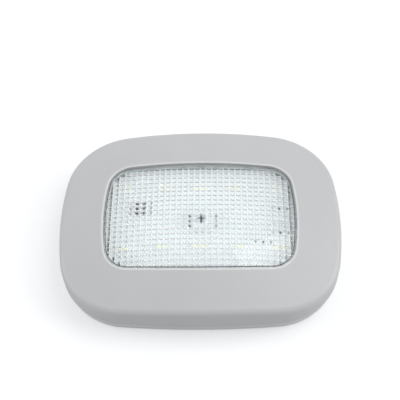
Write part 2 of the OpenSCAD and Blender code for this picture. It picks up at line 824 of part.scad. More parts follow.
module charge_socket_tongue() {
    color([0.1, 0.1, 0.1])
    translate([0, 0, socket_z])
    union() {
        along_y(mouth_y - socket_l, mouth_y - socket_l + insulator_l)
            stadium(socket_w - 2 * thread_gap, socket_h - 2 * thread_gap);
        along_y(mouth_y - socket_l + eps, mouth_y - tongue_inset) square([tongue_w, tongue_t], center = true);
    }
}

// Battery
module battery() {
    r = battery_edge_r;
    color([0.72, 0.73, 0.75])
    translate([-battery_l / 2, 0, battery_z + battery_t / 2]) rotate([90, 0, 90])
    linear_extrude(battery_l) union() {
        square([battery_w - 2 * r, battery_t], center = true);
        square([battery_w, battery_t - 2 * r], center = true);
        for (sx = [-1, 1], sy = [-1, 1])
            translate([sx * (battery_w / 2 - r), sy * (battery_t / 2 - r)]) circle(r);
    }
}

module battery_pad() {
    color([0.95, 0.95, 0.9])
    translate([0, 0, floor_t + pad_t / 2]) cube([pad_l, pad_w, pad_t], center = true);
}

// A lead leaves the battery's right end, bends up and ends on the board's underside
module battery_lead(side) {
    start = [battery_l / 2, side * lead_spacing / 2, battery_z + battery_t / 2];
    rise = board_z - start[2] - lead_bend_r;
    translate(start) {
        rotate([0, 90, 0]) cylinder(r = lead_r, h = lead_run);
        translate([lead_run, 0, lead_bend_r]) rotate([90, 0, 0]) rotate([0, 0, -90])
            rotate_extrude(angle = 90) translate([lead_bend_r, 0]) circle(lead_r);
        translate([lead_run + lead_bend_r, 0, lead_bend_r]) cylinder(r = lead_r, h = rise);
    }
}

module battery_lead_positive() {
    color([0.75, 0.08, 0.06]) battery_lead(1);
}

module battery_lead_negative() {
    color([0.06, 0.06, 0.06]) battery_lead(-1);
}

// Magnets
module magnet(x) {
    color([0.75, 0.76, 0.78])
    translate([x, 0, magnet_skin]) rotate_extrude() polygon([
        [0, 0], [magnet_r - magnet_bevel, 0], [magnet_r, magnet_bevel], [magnet_r, magnet_t - magnet_bevel],
        [magnet_r - magnet_bevel, magnet_t], [0, magnet_t]
    ]);
}

// Screws
// A screw points up from z = 0, where the underside of its head is, and carries a cross recess below
module screw(length) {
    difference() {
        rotate_extrude() polygon([
            [0, -screw_head_h], [screw_head_r - head_bevel, -screw_head_h],
            [screw_head_r, head_bevel - screw_head_h], [screw_head_r, 0],
            [screw_r, 0], [screw_r, length - tip_h], [tip_r, length], [0, length]
        ]);
        for (a = [0, 90]) rotate(a) translate([0, 0, recess_d / 2 - screw_head_h])
            cube([2 * screw_recess_r, recess_w, recess_d + eps], center = true);
    }
}

module cover_screws() {
    color([0.7, 0.71, 0.73]) at_cover_screws() translate([0, 0, screw_well_d]) screw(cover_screw_l);
}

module board_screws() {
    color([0.7, 0.71, 0.73]) at_board_screws() translate([0, 0, board_z]) screw(board_screw_l);
}

bezel();
lens();
back_cover();
circuit_board();
lamp(1);  // led_1
lamp(2);  // led_2
lamp(3);  // led_3
lamp(4);  // led_4
lamp(5);  // led_5
lamp(6);  // led_6
lamp(7);  // led_7
lamp(8);  // led_8
lamp(9);  // led_9
lamp(10);  // led_10
charge_chip();
resistor(1);  // resistor_1
resistor(2);  // resistor_2
resistor(3);  // resistor_3
resistor(4);  // resistor_4
switch_body();
switch_plate();
switch_plunger();
switch_dome();
charge_socket_shell();
charge_socket_tongue();
battery();
battery_pad();
battery_lead_positive();
battery_lead_negative();
magnet(-magnet_x);  // magnet_left
magnet(magnet_x);  // magnet_right
cover_screws();
board_screws();
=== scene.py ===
"""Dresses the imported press-on light: fine shells, board detail, materials, light and the camera.

All lengths are in metres in the row's frame: +X along the long side, +Y towards the charging socket, +Z up.
"""

import math

import bmesh
import bpy
import numpy as np
from mathutils import Matrix, Vector


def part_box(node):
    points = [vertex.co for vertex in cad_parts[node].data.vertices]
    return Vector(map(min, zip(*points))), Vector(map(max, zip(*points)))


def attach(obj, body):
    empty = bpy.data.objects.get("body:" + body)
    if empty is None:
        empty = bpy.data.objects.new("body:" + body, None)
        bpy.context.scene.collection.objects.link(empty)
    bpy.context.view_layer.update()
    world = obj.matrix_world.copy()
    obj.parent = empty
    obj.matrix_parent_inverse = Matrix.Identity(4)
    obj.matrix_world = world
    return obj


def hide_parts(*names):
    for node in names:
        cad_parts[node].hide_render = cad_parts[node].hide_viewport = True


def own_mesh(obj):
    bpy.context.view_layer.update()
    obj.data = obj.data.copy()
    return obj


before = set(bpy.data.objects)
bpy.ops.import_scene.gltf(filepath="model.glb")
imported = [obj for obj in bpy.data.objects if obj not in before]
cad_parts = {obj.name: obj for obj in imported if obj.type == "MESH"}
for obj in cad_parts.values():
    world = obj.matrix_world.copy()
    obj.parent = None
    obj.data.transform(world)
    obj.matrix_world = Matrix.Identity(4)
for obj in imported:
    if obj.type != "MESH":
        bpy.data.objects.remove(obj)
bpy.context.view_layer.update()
MM = 0.001


def middle(node):
    """The middle of a CAD node's box."""
    low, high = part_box(node)
    return (low + high) / 2


# Sizes taken from the frame
BEZEL_LOW, BEZEL_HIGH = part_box("bezel")
BOARD_LOW, BOARD_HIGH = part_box("circuit_board")
CASE_L = BEZEL_HIGH.x - BEZEL_LOW.x
CASE_W = BEZEL_HIGH.y - BEZEL_LOW.y
PARTING_Z = BEZEL_LOW.z
BOARD_TOP = BOARD_HIGH.z
SKIRT_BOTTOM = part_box("lens")[0].z
PLUNGER_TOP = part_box("switch_plunger")[1].z
SWITCH_AT = middle("switch_plunger")

# Sizes of the shells, which the frame doesn't name
LONG_SIDE_R = 365 * MM
SHORT_SIDE_R = 121 * MM
CORNER_R = 24.8 * MM
CROWN_Z = 19.5 * MM
CROWN_RX = 249 * MM
CROWN_RY = 192 * MM
WALL = 1.6 * MM
EDGE_R = 2.5 * MM
WINDOW_L = 71.7 * MM
WINDOW_W = 45.6 * MM
WINDOW_LONG_R = 396 * MM
WINDOW_SHORT_R = 91 * MM
WINDOW_CORNER_R = 9.2 * MM
WINDOW_EDGE_R = 0.4 * MM
RIM_T = 1.2 * MM
RIM_Z = 13.4 * MM
LENS_GAP = 0.45 * MM
LENS_RECESS = 0.5 * MM
LENS_T = 2 * MM
LENS_EDGE_R = 0.5 * MM
SKIRT_T = 0.7 * MM
SKIN_T = 0.7 * LENS_T
SHEET_LAP = 0.2 * LENS_T
PRISM_PITCH_X = 2.2 * MM
PRISM_PITCH_Y = 2.05 * MM
OVERLAP = 0.01 * MM

# Steps of an outline's arcs in one quarter: short side, corner, long side
ARC_STEPS = (8, 24, 14)
EDGE_STEPS = 10
TOP_STEPS = 12
LENS_RINGS = 20
ROUND_STEPS = 48
SMALL_ROUND_STEPS = 32
# Angles in degrees above which an edge stays sharp
SHELL_CREASE = 32
LENS_CREASE = 28
SMALL_CREASE = 40


class Outline:
    """Four bowed sides with tangent corner arcs, as points and outward normals, anticlockwise from +X."""

    def __init__(self, length, width, long_r, short_r, corner_r):
        long_centre = np.array([0, width / 2 - long_r])
        short_centre = np.array([length / 2 - short_r, 0])
        reach_long = long_r - corner_r
        reach_short = short_r - corner_r
        apart = np.linalg.norm(short_centre - long_centre)
        along = (reach_long**2 - reach_short**2 + apart**2) / (2 * apart)
        across = math.sqrt(reach_long**2 - along**2)
        u = (short_centre - long_centre) / apart
        corner = long_centre + along * u + across * np.array([u[1], -u[0]])
        short_angle = math.atan2(*(corner - short_centre)[::-1])
        long_angle = math.atan2(*(corner - long_centre)[::-1])
        self.arcs = (
            (short_centre, short_r, 0, short_angle),
            (corner, corner_r, short_angle, long_angle),
            (long_centre, long_r, long_angle, math.pi / 2),
        )
        points, normals = [], []
        for (centre, r, start, end), steps in zip(self.arcs, ARC_STEPS):
            angles = np.linspace(start, end, steps + 1)[:-1]
            out = np.column_stack([np.cos(angles), np.sin(angles)])
            points.append(centre + r * out)
            normals.append(out)
        points.append([[0, width / 2]])
        normals.append([[0, 1]])
        self.points = around(np.concatenate(points))
        self.normals = around(np.concatenate(normals))

    def inset(self, d):
        """The outline's points moved inwards by d, or outwards where d is negative."""
        return self.points - d * self.normals

    def depth(self, x, y):
        """How far inside the outline a point is."""
        for centre, r, _, end in self.arcs:
            away = np.array([abs(x), abs(y)]) - centre
            if math.atan2(away[1], away[0]) <= end:
                break
        return r - math.hypot(*away)


def around(quarter):
    """A quarter from +X to +Y, mirrored into the whole turn."""
    back = quarter[-1:0:-1]
    return np.concatenate([quarter[:-1], back * [-1, 1], quarter[:-1] * [-1, -1], back * [1, -1]])


CASE = Outline(CASE_L, CASE_W, LONG_SIDE_R, SHORT_SIDE_R, CORNER_R)
WINDOW = Outline(WINDOW_L, WINDOW_W, WINDOW_LONG_R, WINDOW_SHORT_R, WINDOW_CORNER_R)


def crown(points):
    """Height of the crowned top over points in X and Y."""
    return CROWN_Z - points[..., 0] ** 2 / (2 * CROWN_RX) - points[..., 1] ** 2 / (2 * CROWN_RY)


def level(points, z):
    """Points at one height."""
    return np.column_stack([points, np.full(len(points), z)])


def under_crown(points, drop=0.0):
    """Points that lie below the crowned top by drop."""
    return np.column_stack([points, crown(points) - drop])


def quarter_turn(steps, skip=0):
    """Angles from 0 to a quarter turn, without the first few."""
    return [math.pi / 2 * i / steps for i in range(skip, steps + 1)]


def shares(count):
    """Even shares between 0 and 1, without either."""
    return [i / count for i in range(1, count)]


# Meshes
def link_mesh(name, mesh):
    made = bpy.data.objects.new(name, mesh)
    bpy.context.scene.collection.objects.link(made)
    return made


def new_object(name, vertices, faces):
    mesh = bpy.data.meshes.new(name)
    mesh.from_pydata([tuple(v) for v in vertices], [], faces)
    work = bmesh.new()
    work.from_mesh(mesh)
    bmesh.ops.recalc_face_normals(work, faces=work.faces)
    work.to_mesh(mesh)
    work.free()
    return link_mesh(name, mesh)


def band(j, k, count):
    """Faces between ring j and ring k."""
    return [
        (j * count + i, j * count + (i + 1) % count, k * count + (i + 1) % count, k * count + i)
        for i in range(count)
    ]


def ring_loop(name, rings):
    """A tube of rings whose section closes on itself."""
    count, total = len(rings[0]), len(rings)
    faces = [f for j in range(total) for f in band(j, (j + 1) % total, count)]
    return new_object(name, np.concatenate(rings), faces)


def ring_stack(name, rings):
    """A solid of rings with a flat first and last face."""
    count, total = len(rings[0]), len(rings)
    faces = [f for j in range(total - 1) for f in band(j, j + 1, count)]
    faces.append(tuple(range(count)))
    faces.append(tuple((total - 1) * count + i for i in range(count)))
    return new_object(name, np.concatenate(rings), faces)


def slab(name, points, z0, z1):
    return ring_stack(name, [level(points, z0), level(points, z1)])


def circle(x, y, r, steps=ROUND_STEPS):
    angles = np.linspace(0, 2 * math.pi, steps, endpoint=False)
    return np.column_stack([x + r * np.cos(angles), y + r * np.sin(angles)])


def cylinder(name, x, y, r, z0, z1):
    return slab(name, circle(x, y, r), z0, z1)


def block(name, low, high):
    x0, y0, z0 = low
    x1, y1, z1 = high
    return slab(name, np.array([[x0, y0], [x1, y0], [x1, y1], [x0, y1]]), z0, z1)


def combine(base, parts, operation):
    """Applies one boolean operation with each part to base, and removes the parts."""
    for part in parts:
        tool = base.modifiers.new("combine", "BOOLEAN")
        tool.operation = operation
        tool.solver = "MANIFOLD"
        tool.object = part
        graph = bpy.context.evaluated_depsgraph_get()
        mesh = bpy.data.meshes.new_from_object(base.evaluated_get(graph))
        base.modifiers.clear()
        base.data = mesh
        bpy.data.objects.remove(part)


def smooth(obj, degrees):
    """Smooth shading, with edges sharper than the angle kept."""
    obj.data.shade_smooth()
    obj.data.set_sharp_from_angle(angle=math.radians(degrees))
    return obj


def dress(obj, material, body="case", replaces=()):
    """Gives a new piece its material, slot and body, and hides the CAD nodes that it stands for."""
    obj.data.materials.clear()
    obj.data.materials.append(material)
    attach(obj, body)
    if replaces:
        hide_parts(*replaces)
    return obj


# Bezel
COVER_SCREW_X = CASE_L / 2 - 7.5 * MM
COVER_SCREW_Y = 12 * MM
BOARD_SCREW_X = BOARD_HIGH.x - 2.6 * MM
BOARD_SCREW_Y = -BOARD_LOW.y - 2.6 * MM
SCREW_R = 1 * MM
THREAD_GAP = 0.03 * MM
COVER_BOSS_R = 2.8 * MM
BOARD_BOSS_R = 2.4 * MM
BOSS_ROOT = 0.55 * WALL
COVER_BORE_TOP = 10.9 * MM
BOARD_BORE_TOP = 13.4 * MM
NOTCH_W = 9.54 * MM
NOTCH_TOP = BOARD_LOW.z + 0.3 * MM
MOULD_EDGE = 0.2 * MM
# Width of the band of the top that, with the window's round edge, is glossier and painted lighter as a
# highlight
EDGE_BAND = 0.4 * MM


def corners(x, y):
    """The four mirrored places of a point."""
    return [(sx * x, sy * y) for sx in (-1, 1) for sy in (-1, 1)]


def edge_ring(angle):
    """The casing's upper edge, round from the wall at angle 0 to the top at a quarter turn."""
    ring = level(CASE.inset(EDGE_R * (1 - math.cos(angle))), 0)
    ring[:, 2] = crown(CASE.inset(EDGE_R)) - EDGE_R * (1 - math.sin(angle))
    return ring


def window_edge_ring(angle):
    """The window's edge, from the crowned top at angle 0 down to the window's wall."""
    ring = level(WINDOW.inset(-WINDOW_EDGE_R * (1 - math.sin(angle))), 0)
    ring[:, 2] = crown(WINDOW.inset(-WINDOW_EDGE_R)) - WINDOW_EDGE_R * (1 - math.cos(angle))
    return ring


def bezel_shell():
    outer, inner = CASE.inset(EDGE_R), WINDOW.inset(-WINDOW_EDGE_R)
    roof_outer, roof_inner = CASE.inset(WALL + EDGE_R / 2), WINDOW.inset(-RIM_T)
    rings = [level(CASE.inset(MOULD_EDGE), PARTING_Z), level(CASE.inset(0), PARTING_Z + MOULD_EDGE)]
    rings += [edge_ring(a) for a in quarter_turn(EDGE_STEPS)]
    rings += [under_crown(outer * (1 - t) + inner * t) for t in shares(TOP_STEPS)]
    rings += [under_crown(WINDOW.inset(-WINDOW_EDGE_R - EDGE_BAND))]
    rings += [window_edge_ring(a) for a in quarter_turn(EDGE_STEPS)]
    rings += [level(WINDOW.inset(0), RIM_Z), level(roof_inner, RIM_Z)]
    rings += [under_crown(roof_inner * (1 - t) + roof_outer * t, WALL) for t in (0, 0.25, 0.5, 0.75, 1)]
    rings += [under_crown(CASE.inset(WALL), WALL + EDGE_R / 2), level(CASE.inset(WALL), PARTING_Z)]
    return ring_loop("bezel_shell", rings)


def boss(x, y, r, bottom):
    return cylinder("boss", x, y, r, bottom, float(crown(np.array([x, y]))) - BOSS_ROOT)


def make_bezel():
    shell = bezel_shell()
    cover_screws = corners(COVER_SCREW_X, COVER_SCREW_Y)
    board_screws = corners(BOARD_SCREW_X, BOARD_SCREW_Y)
    bosses = [boss(x, y, COVER_BOSS_R, PARTING_Z) for x, y in cover_screws]
    bosses += [boss(x, y, BOARD_BOSS_R, BOARD_TOP) for x, y in board_screws]
    combine(shell, bosses, "UNION")
    bore = SCREW_R + THREAD_GAP
    cuts = [cylinder("bore", x, y, bore, 0, COVER_BORE_TOP) for x, y in cover_screws]
    cuts += [cylinder("bore", x, y, bore, 0, BOARD_BORE_TOP) for x, y in board_screws]
    notch_y = CASE_W / 2 - WALL - EDGE_R
    cuts.append(block("notch", (-NOTCH_W / 2, notch_y, 0), (NOTCH_W / 2, CASE_W, NOTCH_TOP)))
    combine(shell, cuts, "DIFFERENCE")
    shell.name = "bezel_moulding"
    return smooth(shell, SHELL_CREASE)


# Lens
CATCH_W = 3.6 * MM
CATCH_REACH = 0.75 * MM
CATCH_H = 1.2 * MM
CATCH_TIP_H = 0.6 * MM
CATCH_SPACING = 11 * MM
POST_W = 2.4 * MM
RIB_REACH = 2.2 * MM
RIB_T = 0.7 * MM
RIB_FOOT_H = 0.4 * MM
# Slope of a prism's flank in degrees
PRISM_SLOPE = 41.5
# Places across a prism, from its edge at 0 to its tip at 1: where the groove ends and the round tip starts
PRISM_GROOVE = 0.2
PRISM_ROUND = 0.68
# Grid lines in one half of a prism
PRISM_STOPS = (0, PRISM_GROOVE, PRISM_ROUND, 0.84)


def lens_ring(angle):
    """The edge of the lens, from its top at angle 0 down to its side."""
    ring = level(WINDOW.inset(LENS_GAP + LENS_EDGE_R * (1 - math.sin(angle))), 0)
    under = LENS_RECESS + LENS_EDGE_R * (1 - math.cos(angle))
    ring[:, 2] = crown(WINDOW.inset(LENS_GAP + LENS_EDGE_R)) - under
    return ring


def lens_skin():
    """The domed cap and its skirt, plain on both sides."""
    top, inner = WINDOW.inset(LENS_GAP + LENS_EDGE_R), WINDOW.inset(LENS_GAP + SKIRT_T)
    steps = [(i + 1) / LENS_RINGS for i in range(LENS_RINGS)]
    rings = [under_crown(inner * t, LENS_RECESS + SKIN_T) for t in steps]
    rings += [level(inner, SKIRT_BOTTOM), level(WINDOW.inset(LENS_GAP), SKIRT_BOTTOM)]
    rings += [lens_ring(a) for a in reversed(quarter_turn(EDGE_STEPS, skip=1))]
    rings += [under_crown(top * t, LENS_RECESS) for t in reversed(steps)]
    return ring_stack("lens_skin", rings)


def prism_lines(size, pitch):
    """Grid lines along one side of the prism sheet, and each line's place across its prism."""
    half = math.ceil(size / 2 / pitch)
    stops = [*PRISM_STOPS, 1, *reversed(PRISM_STOPS[1:])]
    lines, places = [], []
    for i in range(-half, half):
        for k, stop in enumerate(stops):
            share = stop / 2 if k <= len(PRISM_STOPS) else 1 - stop / 2
            lines.append((i + share) * pitch)
            places.append(stop)
    return np.array([*lines, half * pitch]), np.array([*places, 0])


def prism_rise(place):
    """How far a prism stands out at a place: a straight flank that turns into a round tip."""
    height = math.tan(math.radians(PRISM_SLOPE)) * PRISM_PITCH_X / 2
    past = np.maximum(place - PRISM_ROUND, 0)
    return height * (place - past**2 / (2 * (1 - PRISM_ROUND)))


def prism_sheet():
    """A sheet that follows the crown, plain above and with one prism in each square below."""
    xs, place_x = prism_lines(WINDOW_L, PRISM_PITCH_X)
    ys, place_y = prism_lines(WINDOW_W, PRISM_PITCH_Y)
    nx, ny = len(xs), len(ys)
    gx, gy = np.meshgrid(xs, ys)
    px, py = np.meshgrid(place_x, place_y)
    rise = prism_rise(px) + prism_rise(py)
    flat = np.column_stack([gx.ravel(), gy.ravel()])
    lower = under_crown(flat)
    lower[:, 2] -= LENS_RECESS + LENS_T + rise.ravel()
    upper = under_crown(flat, LENS_RECESS + SKIN_T - SHEET_LAP)
    total = nx * ny
    steps = len(PRISM_STOPS)
    faces = []
    for j in range(ny - 1):
        for i in range(nx - 1):
            a, b = j * nx + i, (j + 1) * nx + i
            # The diagonal of each grid square runs towards the tip of its prism
            if (i % (2 * steps) < steps) == (j % (2 * steps) < steps):
                faces += [(a, a + 1, b + 1), (a, b + 1, b)]
            else:
                faces += [(a, a + 1, b), (a + 1, b + 1, b)]
            faces.append((total + a, total + b, total + b + 1, total + a + 1))
    for i in range(nx - 1):
        far = (ny - 1) * nx + i
        faces += [(i, total + i, total + i + 1, i + 1), (far, far + 1, total + far + 1, total + far)]
    for j in range(ny - 1):
        a, b = j * nx, (j + 1) * nx
        far_a, far_b = a + nx - 1, b + nx - 1
        faces += [(a, b, total + b, total + a), (far_a, total + far_a, total + far_b, far_b)]
    return new_object("prism_sheet", np.concatenate([lower, upper]), faces)


def hull(name, points):
    """The smallest convex solid round the points."""
    work = bmesh.new()
    for p in points:
        work.verts.new(p)
    bmesh.ops.convex_hull(work, input=work.verts)
    mesh = bpy.data.meshes.new(name)
    work.to_mesh(mesh)
    work.free()
    return link_mesh(name, mesh)


def box_points(low, high):
    return [(x, y, z) for x in (low[0], high[0]) for y in (low[1], high[1]) for z in (low[2], high[2])]


def catch(x, y, angle):
    """One catch, rooted in the skirt and pointing outwards from the window's edge."""
    root = LENS_GAP + SKIRT_T / 2
    half = CATCH_W / 2
    points = box_points((-root, -half, SKIRT_BOTTOM), (SKIRT_T / 2 - root, half, SKIRT_BOTTOM + CATCH_H))
    points += box_points((0, -half, RIM_Z - CATCH_TIP_H), (CATCH_REACH, half, RIM_Z))
    turn = Matrix.Translation((x, y, 0)) @ Matrix.Rotation(math.radians(angle), 4, "Z")
    return hull("catch", [turn @ Vector(p) for p in points])


def window_side_x(y):
    """X of the window's right side at y."""
    return WINDOW_L / 2 - WINDOW_SHORT_R + math.sqrt(WINDOW_SHORT_R**2 - y**2)


def lens_post():
    """The post over the switch: two crossed ribs that widen towards the skin."""
    x, y = SWITCH_AT.x, SWITCH_AT.y
    top = float(crown(np.array([x, y]))) - LENS_RECESS - SKIN_T - OVERLAP
    half, foot, reach = RIB_T / 2, PLUNGER_TOP + RIB_FOOT_H, POST_W / 2
    points = box_points((-reach - RIB_REACH, -half, top - OVERLAP), (reach + RIB_REACH, half, top))
    points += box_points((-reach, -half, PLUNGER_TOP), (reach, half, foot))
    turns = [Matrix.Translation((x, y, 0)) @ Matrix.Rotation(math.pi / 2 * k, 4, "Z") for k in range(2)]
    return [hull("rib", [turn @ Vector(p) for p in points]) for turn in turns]


def make_lens():
    sheet = prism_sheet()
    clip = slab("clip", WINDOW.inset(LENS_GAP + SKIRT_T / 2), SKIRT_BOTTOM, CROWN_Z)
    combine(sheet, [clip], "INTERSECT")
    catches = [
        catch(s * window_side_x(t * CATCH_SPACING / 2), t * CATCH_SPACING / 2, 90 - 90 * s)
        for s in (-1, 1)
        for t in (-1, 1)
    ]
    catches += [catch(0, s * WINDOW_W / 2, 90 * s) for s in (-1, 1)]
    skin = lens_skin()
    combine(skin, [sheet, *catches, *lens_post()], "UNION")
    skin.name = "lens_moulding"
    return smooth(skin, LENS_CREASE)


# Back cover
PARTING_STEP = 0.3 * MM
COVER_DRAFT = 0.6 * MM
FOOT_R = 0.9 * MM
FLOOR_T = 1.6 * MM
LIP_GAP = 0.15 * MM
LIP_T = 1 * MM
LIP_H = 1.5 * MM
TONGUE_W = 16 * MM
MAGNET_SKIN = 0.8 * MM
MAGNET_T = 3 * MM
MAGNET_R = 7.1 * MM
MAGNET_RING_R = 8.1 * MM
HEAD_WELL_R = 2.2 * MM
HEAD_WELL_D = 2.6 * MM
SHANK_HOLE_R = 1.15 * MM


def foot_ring(angle):
    """The round edge of the back, from its flat face at angle 0 up to the wall."""
    out = PARTING_STEP + COVER_DRAFT + FOOT_R * (1 - math.sin(angle))
    return level(CASE.inset(out), FOOT_R * (1 - math.cos(angle)))


def make_back_cover():
    cavity = CASE.inset(WALL + LIP_GAP + LIP_T)
    rings = [foot_ring(a) for a in quarter_turn(EDGE_STEPS)]
    rings += [level(CASE.inset(PARTING_STEP), PARTING_Z - MOULD_EDGE)]
    rings += [level(CASE.inset(PARTING_STEP + MOULD_EDGE), PARTING_Z)]
    tray = ring_stack("back_cover_moulding", rings)
    combine(tray, [slab("cavity", cavity, FLOOR_T, PARTING_Z + MM)], "DIFFERENCE")
    lip = slab("lip", CASE.inset(WALL + LIP_GAP), PARTING_Z - OVERLAP, PARTING_Z + LIP_H)
    gate = block("gate", (-TONGUE_W / 2, 0, PARTING_Z), (TONGUE_W / 2, CASE_W, PARTING_Z + 2 * LIP_H))
    combine(lip, [slab("cavity", cavity, 0, 2 * PARTING_Z), gate], "DIFFERENCE")
    magnet_x = [middle(name).x for name in ("magnet_left", "magnet_right")]
    magnet_top = MAGNET_SKIN + MAGNET_T
    screws = corners(COVER_SCREW_X, COVER_SCREW_Y)
    added = [lip]
    added += [cylinder("boss", x, y, COVER_BOSS_R, FLOOR_T - OVERLAP, PARTING_Z) for x, y in screws]
    added += [cylinder("ring", x, 0, MAGNET_RING_R, FLOOR_T - OVERLAP, magnet_top) for x in magnet_x]
    combine(tray, added, "UNION")
    cuts = [cylinder("well", x, y, HEAD_WELL_R, -MM, HEAD_WELL_D) for x, y in screws]
    cuts += [cylinder("hole", x, y, SHANK_HOLE_R, -MM, PARTING_Z + MM) for x, y in screws]
    cuts += [cylinder("pocket", x, 0, MAGNET_R, MAGNET_SKIN, PARTING_Z + MM) for x in magnet_x]
    combine(tray, cuts, "DIFFERENCE")
    return smooth(tray, SHELL_CREASE)


# Materials
class Nodes:
    """A material's node tree, with short calls for the nodes that are used here."""

    def __init__(self, name):
        self.material = bpy.data.materials.new(name)
        self.material.use_nodes = True
        self.tree = self.material.node_tree
        self.shader = self.tree.nodes["Principled BSDF"]

    def node(self, kind, **settings):
        made = self.tree.nodes.new(kind)
        for key, value in settings.items():
            setattr(made, key, value)
        return made

    def link(self, output, node, name):
        self.tree.links.new(output, node.inputs[name])

    def set(self, **values):
        """Sets the shader's values, with _ for a blank in a name."""
        for key, value in values.items():
            self.shader.inputs[key.replace("_", " ")].default_value = value

    def position(self):
        return self.node("ShaderNodeTexCoord").outputs["Object"]

    def noise(self, scale, detail=2.0):
        made = self.node("ShaderNodeTexNoise")
        made.inputs["Scale"].default_value = scale
        made.inputs["Detail"].default_value = detail
        self.link(self.position(), made, "Vector")
        return made.outputs["Fac"]

    def ramp(self, factor, low, high):
        """factor from 0 to 1 turned into a number from low to high."""
        made = self.node("ShaderNodeMapRange")
        self.link(factor, made, "Value")
        made.inputs["To Min"].default_value = low
        made.inputs["To Max"].default_value = high
        return made.outputs["Result"]

    def colours(self, factor, first, second, low=0.0, high=1.0):
        """factor turned into a colour from first to second."""
        made = self.node("ShaderNodeValToRGB")
        made.color_ramp.elements[0].color = (*first, 1)
        made.color_ramp.elements[1].color = (*second, 1)
        made.color_ramp.elements[0].position = low
        made.color_ramp.elements[1].position = high
        self.link(factor, made, "Fac")
        return made.outputs["Color"]

    def bump(self, height, strength, distance):
        made = self.node("ShaderNodeBump")
        made.inputs["Strength"].default_value = strength
        made.inputs["Distance"].default_value = distance
        self.link(height, made, "Height")
        self.link(made.outputs["Normal"], self.shader, "Normal")


def plastic(name, colour, roughness, grain=0.05, tint=0.015):
    """Moulded plastic: a fine spark-eroded grain and a faint unevenness of colour and gloss."""
    m = Nodes(name)
    cloud = m.noise(60, detail=3)
    darker = tuple(c * (1 - tint) for c in colour)
    lighter = tuple(c * (1 + tint) for c in colour)
    m.link(m.colours(cloud, darker, lighter, 0.3, 0.7), m.shader, "Base Color")
    m.link(m.ramp(m.noise(220, detail=4), roughness - 0.05, roughness + 0.05), m.shader, "Roughness")
    m.bump(m.noise(5200, detail=2), grain, 0.02 * MM)
    return m.material


def clear_plastic(name, tint, roughness, lets_light_in, clearness=1.0):
    """Clear plastic, which may let light straight through to what stands behind it."""
    m = Nodes(name)
    m.set(Base_Color=(*tint, 1), Roughness=roughness, IOR=1.49, Transmission_Weight=clearness)
    if not lets_light_in:
        return m.material
    path = m.node("ShaderNodeLightPath")
    either = m.node("ShaderNodeMath", operation="MAXIMUM")
    m.link(path.outputs["Is Shadow Ray"], either, 0)
    m.link(path.outputs["Is Diffuse Ray"], either, 1)
    open_way = m.node("ShaderNodeBsdfTransparent")
    open_way.inputs["Color"].default_value = (*tint, 1)
    mix = m.node("ShaderNodeMixShader")
    m.link(either.outputs["Value"], mix, "Fac")
    m.link(m.shader.outputs["BSDF"], mix, 1)
    m.link(open_way.outputs["BSDF"], mix, 2)
    m.link(mix.outputs["Shader"], m.tree.nodes["Material Output"], "Surface")
    return m.material


def metal(name, colour, roughness=0.3, scratch=0.08, metallic=1.0):
    """Metal with a faint unevenness of its polish."""
    m = Nodes(name)
    m.set(Metallic=metallic)
    shade = tuple(c * 0.9 for c in colour)
    m.link(m.colours(m.noise(900, detail=4), shade, colour, 0.35, 0.65), m.shader, "Base Color")
    m.link(m.ramp(m.noise(1500, detail=3), roughness - 0.08, roughness + 0.08), m.shader, "Roughness")
    m.bump(m.noise(2600, detail=3), scratch, 0.01 * MM)
    return m.material


def leaded(name, body_colour, metal_colour, half):
    """A black part whose ends or legs, further than half from its middle along X, are tinned metal."""
    m = Nodes(name)
    split = m.node("ShaderNodeSeparateXYZ")
    m.link(m.position(), split, "Vector")
    off = m.node("ShaderNodeMath", operation="COMPARE")
    m.link(split.outputs["X"], off, 0)
    off.inputs[1].default_value = middle(name).x
    off.inputs[2].default_value = half
    inside = off.outputs["Value"]
    cloud = m.noise(1800, detail=3)
    mix = m.node("ShaderNodeMix", data_type="RGBA")
    m.link(inside, mix, "Factor")
    for colour, shade, socket in ((metal_colour, 0.85, 6), (body_colour, 0.8, 7)):
        m.link(m.colours(cloud, tuple(shade * c for c in colour), colour), mix, socket)
    m.link(mix.outputs[2], m.shader, "Base Color")
    m.link(m.ramp(inside, 1.0, 0.0), m.shader, "Metallic")
    m.link(m.ramp(inside, 0.3, 0.5), m.shader, "Roughness")
    m.bump(m.noise(4000), 0.1, 0.02 * MM)
    return m.material


def foam(name, colour):
    """Rough foam with fine pores."""
    m = Nodes(name)
    shade = tuple(0.85 * c for c in colour)
    m.link(m.colours(m.noise(1500, detail=4), shade, colour), m.shader, "Base Color")
    m.set(Roughness=0.9)
    m.bump(m.noise(2500, detail=4), 0.6, 0.1 * MM)
    return m.material


LENS_TINT = (0.98, 0.992, 0.99)
LENS_ROUGHNESS = 0.02
# Grey tint of the lens's steep sides: painted shade for the dark lines in the gap round the lens; the sides
# are also rougher and let no lamp light straight through
SIDE_SHADE_TINT = (0.8, 0.81, 0.81)
SIDE_ROUGHNESS = 0.3
# Near-black tint of the lens's round edge: painted shade for the dark line along the gap round the lens
RIM_SHADE_TINT = (0.06, 0.06, 0.06)
FROST_TINT = (0.91, 0.95, 0.965)
FROST_ROUGHNESS = 0.3
FROST_CLEARNESS = 0.3
LENS = clear_plastic("lens_clear", LENS_TINT, LENS_ROUGHNESS, True)
LENS_SIDE = clear_plastic("lens_clear_side", SIDE_SHADE_TINT, SIDE_ROUGHNESS, False)
LENS_RIM_SHADE = clear_plastic("lens_rim_painted_shade", RIM_SHADE_TINT, LENS_ROUGHNESS, False)
LENS_FROST = clear_plastic("lens_clear_frost", FROST_TINT, FROST_ROUGHNESS, True, FROST_CLEARNESS)
CASING = plastic("casing_grey", (0.463, 0.463, 0.469), roughness=0.4)
# The back cover's grey is lighter than the casing's: painted light for the bounce from the bright table
# below it
COVER = plastic("cover_grey", (0.57, 0.575, 0.58), roughness=0.4)
